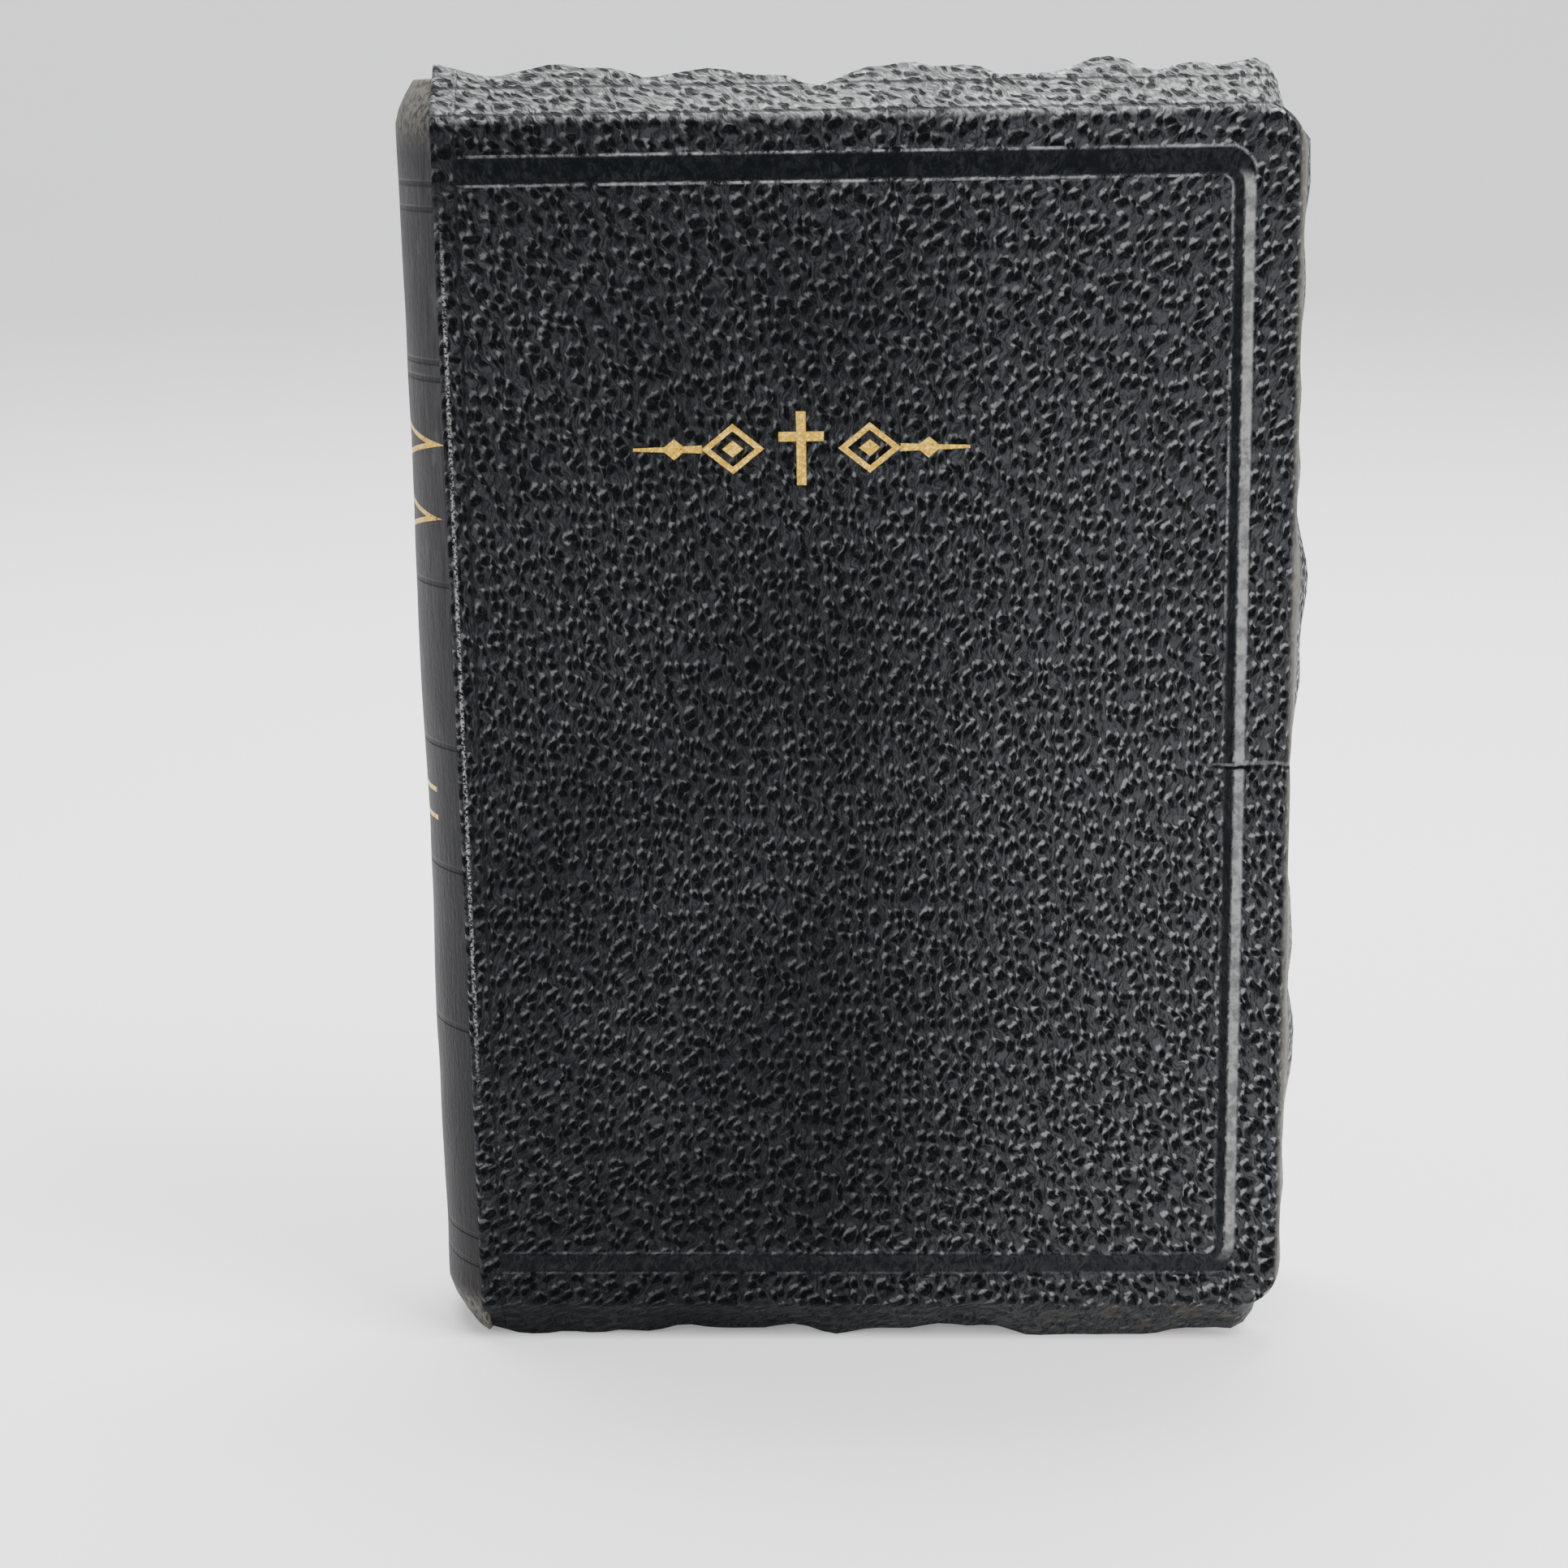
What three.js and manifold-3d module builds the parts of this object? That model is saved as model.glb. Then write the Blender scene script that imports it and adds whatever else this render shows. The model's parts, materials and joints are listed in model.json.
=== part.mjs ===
// A pocket bible in limp leather: a sewn text block in a case whose edges are bent in over the pages.
// Millimetres. +Z is up the spine, the front cover faces -Y and the spine is at -X.
import * as THREE from "three";
import { mergeVertices } from "three/addons/utils/BufferGeometryUtils.js";
import Module from "manifold-3d";

const wasm = await Module();
wasm.setup();

// Text block
const leafWidth = 124;
const leafHeight = 184;
const leafCornerRadius = 5;
const sectionCount = 20;
const sectionThickness = 1.13;
const sectionGap = 0.1;
const blockRound = 4.5;
const spineInset = 1;

// Endpapers and the leaves next to them, which turn one by one
const turningLeafThickness = 0.3;
const turningLeafGap = 0.3;
const turningLeafInset = 2;
const turningLeafNames = {
  front: ["second_leaf", "first_leaf", "front_flyleaf"],
  back: ["next_to_last_leaf", "last_leaf", "back_flyleaf"],
};

// Cover layers
const pastedownThickness = 0.2;
const boardThickness = 1;
const leatherThickness = 1;
const glueGap = 0.1;
const coverSquare = 3;
const coverCornerRadius = 6;
const boardEdgeInset = 1;
const boardJointInset = 4;
const jointGap = 0.3;

// Flaps along the three free edges of each cover, bent in over the page edges
const flapFoldRadius = 1.5;
const headFlap = { length: 9, bend: THREE.MathUtils.degToRad(40) };
const foreEdgeFlap = { length: 8, bend: THREE.MathUtils.degToRad(80) };
const tailFlap = { length: 8, bend: THREE.MathUtils.degToRad(28) };

// Layers behind the folds of the sections
const threadThickness = 0.5;
const threadHeight = 0.6;
const threadEndInset = 14;
const threadRows = 4;
const mullThickness = 0.4;
const liningThickness = 0.6;
const liningEndInset = 5;
const bandThickness = 1.2;
const bandDepth = 3;
const bandBead = 1.5;
const inlayThickness = 0.8;
const inlayHalfWidth = 11;
const hollowBack = 0.8;
const capDrawIn = 3;

// Steps in the curved shapes
const cornerSteps = 6;
const foldSteps = 3;
const arcSteps = 14;
const overlap = 1;

// What follows from the sizes above
const blockHalf = (sectionCount * sectionThickness + (sectionCount - 1) * sectionGap) / 2;
const turningLeafPitch = turningLeafThickness + turningLeafGap;
const pastedownFace =
  blockHalf + turningLeafGap + turningLeafNames.front.length * turningLeafPitch;
const boardFace = pastedownFace + pastedownThickness + glueGap;
const leatherFace = boardFace + boardThickness + glueGap;
const caseHalf = leatherFace + leatherThickness;
const foldWidth = turningLeafInset + leafWidth + coverSquare;
const foldHeight = leafHeight + 2 * coverSquare;
const blockBottom = coverSquare;
const blockTop = blockBottom + leafHeight;
const mullStandoff = glueGap + threadThickness + glueGap;
const liningStandoff = mullStandoff + mullThickness + glueGap;
const inlayStandoff = liningStandoff + liningThickness + hollowBack;
const leatherRound =
  blockRound - spineInset + inlayStandoff + inlayThickness + glueGap + leatherThickness;

const leather = new THREE.MeshStandardMaterial({ color: 0x1b1c20, roughness: 0.5 });
const board = new THREE.MeshStandardMaterial({ color: 0x8b7f6a, roughness: 0.9 });
const endpaper = new THREE.MeshStandardMaterial({ color: 0x26262a, roughness: 0.85 });
const paper = new THREE.MeshStandardMaterial({ color: 0xf1ead8, roughness: 0.9 });
const cloth = new THREE.MeshStandardMaterial({ color: 0xe4dcc6, roughness: 0.95 });
const kraft = new THREE.MeshStandardMaterial({ color: 0xb0895a, roughness: 0.9 });
const thread = new THREE.MeshStandardMaterial({ color: 0xf5f1e4, roughness: 0.8 });
const silk = new THREE.MeshStandardMaterial({ color: 0x7a1f22, roughness: 0.6 });

function named(name, geometry, material) {
  const mesh = new THREE.Mesh(geometry, material);
  mesh.name = name;
  return mesh;
}

// Outline in X and Z with the two corners away from the spine rounded.
function leafOutline(width, height, radius) {
  const outline = new THREE.Shape();
  outline.moveTo(0, 0);
  outline.lineTo(width - radius, 0);
  outline.absarc(width - radius, radius, radius, -Math.PI / 2, 0, false);
  outline.lineTo(width, height - radius);
  outline.absarc(width - radius, height - radius, radius, 0, Math.PI / 2, false);
  outline.lineTo(0, height);
  outline.closePath();
  return outline;
}

// Flat plate: the outline stands in X and Z, and the thickness runs from y = 0 towards +Y.
function plate(width, height, radius, thickness) {
  const options = { depth: thickness, bevelEnabled: false, curveSegments: cornerSteps };
  const geometry = new THREE.ExtrudeGeometry(leafOutline(width, height, radius), options);
  return geometry.rotateX(Math.PI / 2).translate(0, thickness, 0);
}

// Closed solid between two faces, each given as rows with the same number of points.
function sheetSolid(outer, inner) {
  const rows = outer.length;
  const columns = outer[0].length;
  const at = (face, row, column) => (face * rows + row) * columns + column;
  const indices = [];
  const quad = (a, b, c, d) => indices.push(a, b, c, a, c, d);
  for (let r = 0; r < rows - 1; r++) {
    for (let c = 0; c < columns - 1; c++) {
      quad(at(0, r, c), at(0, r, c + 1), at(0, r + 1, c + 1), at(0, r + 1, c));
      quad(at(1, r, c), at(1, r + 1, c), at(1, r + 1, c + 1), at(1, r, c + 1));
    }
    const last = columns - 1;
    quad(at(0, r, 0), at(0, r + 1, 0), at(1, r + 1, 0), at(1, r, 0));
    quad(at(0, r + 1, last), at(0, r, last), at(1, r, last), at(1, r + 1, last));
  }
  for (let c = 0; c < columns - 1; c++) {
    const last = rows - 1;
    quad(at(0, 0, c + 1), at(0, 0, c), at(1, 0, c), at(1, 0, c + 1));
    quad(at(0, last, c), at(0, last, c + 1), at(1, last, c + 1), at(1, last, c));
  }
  const geometry = new THREE.BufferGeometry();
  geometry.setFromPoints([...outer.flat(), ...inner.flat()]);
  geometry.setIndex(indices);
  return geometry;
}

function toSolid(geometry) {
  const bare = geometry.clone();
  bare.deleteAttribute("normal");
  bare.deleteAttribute("uv");
  const merged = mergeVertices(bare, 1e-4);
  const vertProperties = merged.attributes.position.array;
  const triVerts = new Uint32Array(merged.index.array);
  return new wasm.Manifold(new wasm.Mesh({ numProp: 3, vertProperties, triVerts }));
}

function toGeometry(solid) {
  const mesh = solid.getMesh();
  const geometry = new THREE.BufferGeometry();
  geometry.setAttribute("position", new THREE.BufferAttribute(mesh.vertProperties, 3));
  geometry.setIndex(new THREE.BufferAttribute(mesh.triVerts, 1));
  return geometry;
}

// The same shape seen in the plane between the two covers, with its faces still turned out.
function mirrored(geometry) {
  const copy = (geometry.index ? geometry.toNonIndexed() : geometry.clone()).scale(1, -1, 1);
  const position = copy.attributes.position;
  const corner = new THREE.Vector3();
  const other = new THREE.Vector3();
  for (let i = 0; i < position.count; i += 3) {
    corner.fromBufferAttribute(position, i + 1);
    other.fromBufferAttribute(position, i + 2);
    position.setXYZ(i + 1, other.x, other.y, other.z);
    position.setXYZ(i + 2, corner.x, corner.y, corner.z);
  }
  return copy;
}

// Arc from the back joint to the front joint at one height, bulging towards -X by rise.
function spineArc(edgeX, halfChord, rise, z) {
  const radius = (halfChord ** 2 + rise ** 2) / (2 * rise);
  const halfAngle = Math.asin(halfChord / radius);
  const centreX = edgeX - rise + radius;
  const points = [];
  for (let i = 0; i <= arcSteps; i++) {
    const angle = halfAngle * (1 - (2 * i) / arcSteps);
    const x = centreX - radius * Math.cos(angle);
    points.push(new THREE.Vector3(x, radius * Math.sin(angle), z));
  }
  return points;
}

// The arc that the folds of the sections lie on.
const foldRadius = (blockHalf ** 2 + blockRound ** 2) / (2 * blockRound);
const foldCentreX = spineInset - blockRound + foldRadius;
const foldEdgeAngle = Math.asin(blockHalf / foldRadius);

// Where the fold line of the sections lies at a distance y from the middle of the block.
function foldX(y) {
  return foldCentreX - Math.sqrt(foldRadius ** 2 - y ** 2);
}

// Strip that follows the rounded back of the sections, standoff outside their folds.
function backStrip(standoff, thickness, bottom, top) {
  const inside = foldRadius + standoff;
  const start = Math.PI - foldEdgeAngle;
  const end = Math.PI + foldEdgeAngle;
  const section = new THREE.Shape();
  section.absarc(0, 0, inside + thickness, start, end, false);
  section.absarc(0, 0, inside, end, start, true);
  section.closePath();
  const options = { depth: top - bottom, bevelEnabled: false, curveSegments: arcSteps };
  return new THREE.ExtrudeGeometry(section, options).translate(foldCentreX, 0, bottom);
}

function addSections(group) {
  for (let i = 0; i < sectionCount; i++) {
    const near = -blockHalf + i * (sectionThickness + sectionGap);
    const far = near + sectionThickness;
    const edge = foldX(Math.max(Math.abs(near), Math.abs(far)));
    const geometry = plate(leafWidth, leafHeight, leafCornerRadius, sectionThickness);
    const number = String(i + 1).padStart(2, "0");
    const mesh = named("section_" + number, geometry, paper);
    mesh.position.set(edge, near, blockBottom);
    group.add(mesh);
  }
}

// Thread, cloth, paper lining and the two bands glued over the folds, from the folds outwards.
function addBackLayers(group) {
  const threadSpan = leafHeight - 2 * threadEndInset;
  for (let i = 0; i < threadRows; i++) {
    const z = blockBottom + threadEndInset + (threadSpan * i) / (threadRows - 1);
    const geometry = backStrip(glueGap, threadThickness, z, z + threadHeight);
    group.add(named("sewing_thread_row_" + (i + 1), geometry, thread));
  }
  const liningBottom = blockBottom + liningEndInset;
  const liningTop = blockTop - liningEndInset;
  const mull = backStrip(mullStandoff, mullThickness, liningBottom, liningTop);
  group.add(named("mull", mull, cloth));
  const lining = backStrip(liningStandoff, liningThickness, liningBottom, liningTop);
  group.add(named("spine_lining", lining, kraft));
  const headBottom = blockTop - bandDepth;
  const head = backStrip(glueGap, bandThickness, headBottom, blockTop + bandBead);
  group.add(named("head_band", head, silk));
  const tailTop = blockBottom + bandDepth;
  const tail = backStrip(glueGap, bandThickness, blockBottom - bandBead, tailTop);
  group.add(named("tail_band", tail, silk));
}

// Section across a flap, from the cover panel to its tip. Depth 0 is the outer face of the leather.
function flapProfile(flap, depth) {
  const radius = flapFoldRadius - depth;
  const straight = flap.length - flapFoldRadius * flap.bend;
  const profile = [];
  for (let i = 0; i <= foldSteps; i++) {
    const angle = (flap.bend * i) / foldSteps;
    const out = radius * Math.sin(angle);
    profile.push({ out, into: flapFoldRadius - radius * Math.cos(angle) });
  }
  const bendEnd = profile[foldSteps];
  profile.push({
    out: bendEnd.out + straight * Math.cos(flap.bend),
    into: bendEnd.into + straight * Math.sin(flap.bend),
  });
  return profile;
}

// Places along the fold line of a cover, from the joint at the head round to the joint at the tail.
function foldStations() {
  const stations = [{ x: jointGap, z: foldHeight, angle: Math.PI / 2, flap: headFlap }];
  const corner = (z, startAngle, from, to) => {
    for (let i = 0; i <= cornerSteps; i++) {
      const part = i / cornerSteps;
      const angle = startAngle - (Math.PI / 2) * part;
      stations.push({
        x: foldWidth - coverCornerRadius + coverCornerRadius * Math.cos(angle),
        z: z + coverCornerRadius * Math.sin(angle),
        angle,
        flap: {
          length: THREE.MathUtils.lerp(from.length, to.length, part),
          bend: THREE.MathUtils.lerp(from.bend, to.bend, part),
        },
      });
    }
  };
  corner(foldHeight - coverCornerRadius, Math.PI / 2, headFlap, foreEdgeFlap);
  corner(coverCornerRadius, 0, foreEdgeFlap, tailFlap);
  stations.push({ x: jointGap, z: 0, angle: -Math.PI / 2, flap: tailFlap });
  return stations;
}

// One face of the bent rim, as rows from inside the panel's edge out to the tip of the flap.
function rimFace(stations, depth) {
  const place = (station, out, into) =>
    new THREE.Vector3(
      station.x + out * Math.cos(station.angle),
      into,
      station.z + out * Math.sin(station.angle),
    );
  const rows = [stations.map((station) => place(station, -overlap, depth))];
  for (let k = 0; k <= foldSteps + 1; k++) {
    rows.push(
      stations.map((station) => {
        const { out, into } = flapProfile(station.flap, depth)[k];
        return place(station, out, into);
      }),
    );
  }
  return rows;
}

// Leather of one cover, its outer face at y = 0 and its flaps bent towards +Y.
function coverLeather() {
  const panel = plate(foldWidth - jointGap, foldHeight, coverCornerRadius, leatherThickness);
  const stations = foldStations();
  const rim = sheetSolid(rimFace(stations, 0), rimFace(stations, leatherThickness));
  return toGeometry(toSolid(panel.translate(jointGap, 0, 0)).add(toSolid(rim)));
}

// Leather over the back, whose head and tail bend in with the flaps of the covers beside it.
function spineLeather() {
  const face = (depth) => {
    const rows = [];
    const addRow = (z, into, part) => {
      const rise = leatherRound - capDrawIn * part - depth;
      rows.push(spineArc(0, caseHalf - into, rise, z));
    };
    const tip = foldSteps + 1;
    const tail = flapProfile(tailFlap, depth);
    for (let k = tip; k >= 0; k--) addRow(-tail[k].out, tail[k].into, k / tip);
    const head = flapProfile(headFlap, depth);
    for (let k = 0; k <= tip; k++) addRow(foldHeight + head[k].out, head[k].into, k / tip);
    return rows;
  };
  return sheetSolid(face(0), face(leatherThickness));
}

// Card strip that stiffens the spine leather, concentric with its inner face.
function spineInlay() {
  const halfChord = caseHalf - leatherThickness;
  const rise = leatherRound - leatherThickness;
  const radius = (halfChord ** 2 + rise ** 2) / (2 * rise);
  const outside = radius - glueGap;
  const halfAngle = Math.asin(inlayHalfWidth / radius);
  const section = new THREE.Shape();
  section.absarc(0, 0, outside, Math.PI - halfAngle, Math.PI + halfAngle, false);
  section.absarc(0, 0, outside - inlayThickness, Math.PI + halfAngle, Math.PI - halfAngle, true);
  section.closePath();
  const options = { depth: foldHeight - 2 * boardEdgeInset, bevelEnabled: false };
  options.curveSegments = arcSteps;
  const geometry = new THREE.ExtrudeGeometry(section, options);
  return geometry.translate(radius - rise, 0, boardEdgeInset);
}

// Leaves, endpaper, board and leather of one cover, seen from the front of the book.
function coverPieces(side) {
  const pieces = [];
  turningLeafNames[side].forEach((name, i) => {
    const face = blockHalf + turningLeafGap + i * turningLeafPitch;
    const leaf = plate(leafWidth, leafHeight, leafCornerRadius, turningLeafThickness);
    leaf.translate(turningLeafInset, -face - turningLeafThickness, blockBottom);
    pieces.push([name, leaf, name.endsWith("flyleaf") ? endpaper : paper]);
  });
  const pastedown = plate(leafWidth, leafHeight, leafCornerRadius, pastedownThickness);
  pastedown.translate(turningLeafInset, -pastedownFace - pastedownThickness, blockBottom);
  pieces.push([side + "_pastedown", pastedown, endpaper]);
  const boardWidth = foldWidth - boardEdgeInset - boardJointInset;
  const boardHeight = foldHeight - 2 * boardEdgeInset;
  const boardCorner = coverCornerRadius - boardEdgeInset;
  const stiffener = plate(boardWidth, boardHeight, boardCorner, boardThickness);
  stiffener.translate(boardJointInset, -boardFace - boardThickness, boardEdgeInset);
  pieces.push([side + "_board", stiffener, board]);
  pieces.push([side + "_cover_leather", coverLeather().translate(0, -caseHalf, 0), leather]);
  return pieces;
}

const book = new THREE.Group();
addSections(book);
addBackLayers(book);
book.add(named("spine_inlay", spineInlay(), board));
book.add(named("spine_leather", spineLeather(), leather));
for (const [name, geometry, material] of coverPieces("front")) {
  book.add(named(name, geometry, material));
}
for (const [name, geometry, material] of coverPieces("back")) {
  book.add(named(name, mirrored(geometry), material));
}

// The book stands on z = 0, with the middle of its outer box over the origin.
const box = new THREE.Box3().setFromObject(book);
const middle = box.getCenter(new THREE.Vector3());
book.position.set(-middle.x, -middle.y, -box.min.z);

export default book;
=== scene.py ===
# %% [markdown]
# # A leather-bound bible, finished in Blender
# The book's structure comes packed from its CAD model: every board, leaf and joint has its place already.
# This lesson loads that frame, dresses it in grained leather, gilt and stained paper, and lights it.
# All sizes are in metres, so a small helper turns the bookbinder's millimetres into them.

# %% Load the frame
import json
import math

import bmesh
import bpy
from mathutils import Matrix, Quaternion, Vector, noise


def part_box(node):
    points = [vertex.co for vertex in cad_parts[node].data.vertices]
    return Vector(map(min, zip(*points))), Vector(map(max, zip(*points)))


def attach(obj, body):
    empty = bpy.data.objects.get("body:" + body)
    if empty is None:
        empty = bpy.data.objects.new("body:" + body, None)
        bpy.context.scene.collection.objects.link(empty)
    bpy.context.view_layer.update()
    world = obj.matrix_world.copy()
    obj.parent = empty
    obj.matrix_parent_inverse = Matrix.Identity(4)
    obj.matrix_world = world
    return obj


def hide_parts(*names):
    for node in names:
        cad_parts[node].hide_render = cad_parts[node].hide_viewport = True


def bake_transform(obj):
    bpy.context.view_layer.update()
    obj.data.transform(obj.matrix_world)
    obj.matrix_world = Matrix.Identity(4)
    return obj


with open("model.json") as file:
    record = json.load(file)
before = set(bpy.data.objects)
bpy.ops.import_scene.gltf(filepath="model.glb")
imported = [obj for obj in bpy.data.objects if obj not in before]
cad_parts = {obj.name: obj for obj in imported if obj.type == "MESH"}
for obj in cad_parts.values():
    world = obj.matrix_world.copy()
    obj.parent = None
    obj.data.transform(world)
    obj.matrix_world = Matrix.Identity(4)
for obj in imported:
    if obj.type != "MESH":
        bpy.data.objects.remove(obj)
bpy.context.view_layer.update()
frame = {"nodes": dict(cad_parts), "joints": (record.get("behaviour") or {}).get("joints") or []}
MM = 0.001

# %% [markdown]
# ## Measures taken from the frame
# A binder marks the fold lines on the hide before cutting it. Here they are read from the CAD nodes:
# the board sits one millimetre inside the fold line, and the hinge axis runs in the joint.

# %% Fold lines, joint and spine
EDGE_OF_BOARD = 1 * MM
CORNER_RADIUS = 6 * MM
board_low, board_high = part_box("front_board")
spine_low, spine_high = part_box("spine_leather")
leaf_low, leaf_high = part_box("front_flyleaf")
FOLD_X = board_high.x + EDGE_OF_BOARD
FOLD_TOP = board_high.z + EDGE_OF_BOARD
FOLD_BOTTOM = board_low.z - EDGE_OF_BOARD
FOLD_MIDDLE = (FOLD_TOP + FOLD_BOTTOM) / 2
FACE_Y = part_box("front_cover_leather")[0].y
JOINT_X = next(j for j in frame["joints"] if j["name"] == "front_cover_hinge")["pos_m"][0]
LEATHER = 1 * MM
print("fold lines: x", round(FOLD_X / MM, 2), "z", round(FOLD_BOTTOM / MM, 2), round(FOLD_TOP / MM, 2))

# %% [markdown]
# ## Tools for the workbench
# Every operator acts on what is selected, and the loaded nodes start out selected, so each step begins
# by clearing the selection. Faces, edges and points are then picked in code, by where they lie.

# %% Selection helpers
def clear_selection():
    if bpy.context.object and bpy.context.object.mode != "OBJECT":
        bpy.ops.object.mode_set(mode="OBJECT")
    bpy.ops.object.select_all(action="DESELECT")


def pick_points(piece, test):
    """Selects the points whose place passes the test, in edit mode."""
    bpy.ops.mesh.select_mode(type="VERT")
    bpy.ops.mesh.select_all(action="DESELECT")
    mesh = bmesh.from_edit_mesh(piece.data)
    for point in mesh.verts:
        point.select = test(point.co)
    mesh.select_flush(True)
    bmesh.update_edit_mesh(piece.data)


def cut_across(places, axis):
    """Cuts the whole sheet in edit mode with one plane at each place along an axis."""
    for place in places:
        bpy.ops.mesh.select_all(action="SELECT")
        at, normal = [0, 0, 0], [0, 0, 0]
        at[axis], normal[axis] = place, 1
        bpy.ops.mesh.bisect(plane_co=at, plane_no=normal)


def steps(low, high, pitch):
    count = max(1, round((high - low) / pitch))
    return [low + (high - low) * i / count for i in range(1, count)]


def extrude_edges(piece, test, move=(0, 0, 0)):
    """Extrudes the edges that pass the test, in edit mode, and moves the new row."""
    mesh = bmesh.from_edit_mesh(piece.data)
    chosen = [edge for edge in mesh.edges if test(edge)]
    bpy.ops.mesh.select_mode(type="EDGE")
    bpy.ops.mesh.select_all(action="DESELECT")
    for edge in chosen:
        edge.select_set(True)
    bmesh.update_edit_mesh(piece.data)
    bpy.ops.mesh.extrude_edges_move(TRANSFORM_OT_translate={"value": move})


def weld(piece):
    """Joins points that lie on each other and turns all the faces one way."""
    bpy.ops.object.mode_set(mode="EDIT")
    bpy.ops.mesh.select_all(action="SELECT")
    bpy.ops.mesh.remove_doubles(threshold=1e-6)
    bpy.ops.mesh.normals_make_consistent(inside=False)
    bpy.ops.object.mode_set(mode="OBJECT")


def finish_mesh(piece, name, angle=40):
    """Leaves edit mode, puts the place into the mesh and shades it smooth up to an angle."""
    clear_selection()
    piece.select_set(True)
    bpy.context.view_layer.objects.active = piece
    bpy.ops.object.transform_apply(location=True, rotation=True, scale=True)
    bpy.ops.object.shade_smooth_by_angle(angle=math.radians(angle))
    piece.name = piece.data.name = name
    print(name, len(piece.data.polygons), "faces")
    return piece


def apply_modifier(piece, kind, **settings):
    clear_selection()
    piece.select_set(True)
    bpy.context.view_layer.objects.active = piece
    modifier = piece.modifiers.new(kind.title(), kind)
    for key, value in settings.items():
        setattr(modifier, key, value)
    bpy.ops.object.modifier_apply(modifier=modifier.name)


# %% [markdown]
# ## Writing shader maths as sums
# A finish is a set of masks added and multiplied together. One small class wraps a socket, so that
# `1 - mask` or `a * b` adds the Math node by itself, and the masks below read like sums on paper.
# A finish reads places in millimetres. On a piece that bends it reads the places its points had at rest,
# kept with the mesh, so a pattern turns with the piece instead of sliding over it.

# %% The Value and Finish classes
class Value:
    """A number that changes over a surface."""

    def __init__(self, finish, socket):
        self.finish, self.socket = finish, socket

    def math(self, operation, *others):
        inputs = dict(enumerate([self, *others]))
        return self.finish.node("ShaderNodeMath", {"operation": operation}, inputs)

    def __add__(self, other): return self.math("ADD", other)
    def __sub__(self, other): return self.math("SUBTRACT", other)
    def __mul__(self, other): return self.math("MULTIPLY", other)
    def __truediv__(self, other): return self.math("DIVIDE", other)
    def __neg__(self): return self * -1
    def __radd__(self, other): return self + other
    def __rmul__(self, other): return self * other
    def __rsub__(self, other): return -self + other
    def __abs__(self): return self.math("ABSOLUTE")
    def least(self, other): return self.math("MINIMUM", other)
    def most(self, other): return self.math("MAXIMUM", other)
    def root(self): return self.math("SQRT")
    def wave(self): return self.math("SINE")

    def rise(self, start, end):
        """0 before start, 1 after end, smooth between them."""
        settings = {"interpolation_type": "SMOOTHSTEP"}
        inputs = {"Value": self, "From Min": start, "From Max": end}
        return self.finish.node("ShaderNodeMapRange", settings, inputs, "Result")

    def band(self, centre, half, soft):
        """1 within half of the centre, falling to 0 over soft."""
        return 1 - abs(self - centre).rise(half, half + soft)


class Finish:
    """One procedural material and its nodes."""

    def __init__(self, name, laid=False):
        self.material = bpy.data.materials.new(name)
        self.material.use_nodes = True
        self.tree = self.material.node_tree
        self.shader = self.tree.nodes["Principled BSDF"]
        if laid:
            place = self.node("ShaderNodeAttribute", {"attribute_name": "laid_place"}, {}, "Vector")
        else:
            place = self.node("ShaderNodeTexCoord", {}, {}, "Object")
        scaled = self.node("ShaderNodeVectorMath", {"operation": "SCALE"}, {0: place, "Scale": 1 / MM})
        self.place = scaled
        parts = self.tree.nodes.new("ShaderNodeSeparateXYZ")
        self.tree.links.new(scaled.socket, parts.inputs[0])
        self.x, self.y, self.z = (Value(self, s) for s in parts.outputs)

    def node(self, kind, settings, inputs, output=0):
        made = self.tree.nodes.new(kind)
        for key, value in settings.items():
            setattr(made, key, value)
        for key, value in inputs.items():
            if isinstance(value, Value):
                self.tree.links.new(value.socket, made.inputs[key])
            else:
                made.inputs[key].default_value = value
        return Value(self, made.outputs[output])

    def vector(self, x, y, z):
        return self.node("ShaderNodeCombineXYZ", {}, {0: x, 1: y, 2: z})

    def noise(self, place, scale, detail=2.0, roughness=0.5):
        inputs = {"Vector": place, "Scale": scale, "Detail": detail, "Roughness": roughness}
        return self.node("ShaderNodeTexNoise", {}, inputs, "Fac")

    def cells(self, place):
        """Distance from the middle of the nearest cell, in a flat net of cells one unit wide."""
        inputs = {"Vector": place, "Scale": 1.0, "Randomness": 0.9}
        settings = {"feature": "F1", "voronoi_dimensions": "2D"}
        return self.node("ShaderNodeTexVoronoi", settings, inputs, "Distance")

    def mix(self, share, low, high):
        made = self.tree.nodes.new("ShaderNodeMix")
        made.data_type = "RGBA"
        for index, value in ((0, share), (6, low), (7, high)):
            if isinstance(value, Value):
                self.tree.links.new(value.socket, made.inputs[index])
            else:
                made.inputs[index].default_value = value if index == 0 else (*value, 1)
        return Value(self, made.outputs[2])

    def set(self, **sockets):
        """Sets the shader's sockets: a Value is linked and a number or colour is typed in."""
        for key, value in sockets.items():
            socket = self.shader.inputs[key.replace("_", " ")]
            if isinstance(value, Value):
                self.tree.links.new(value.socket, socket)
            elif isinstance(value, tuple):
                socket.default_value = (*value, 1)
            else:
                socket.default_value = value

    def bump(self, height, distance, strength=1.0):
        inputs = {"Height": height, "Distance": distance, "Strength": strength}
        self.set(Normal=self.node("ShaderNodeBump", {}, inputs))

    def on(self, piece):
        piece.data.materials.clear()
        piece.data.materials.append(self.material)


def keep_places(piece):
    """Notes where each point lies at rest, so that a laid finish bends with the piece."""
    kept = piece.data.attributes.new("laid_place", "FLOAT_VECTOR", "POINT")
    kept.data.foreach_set("vector", [part for point in piece.data.vertices for part in point.co])


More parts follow.
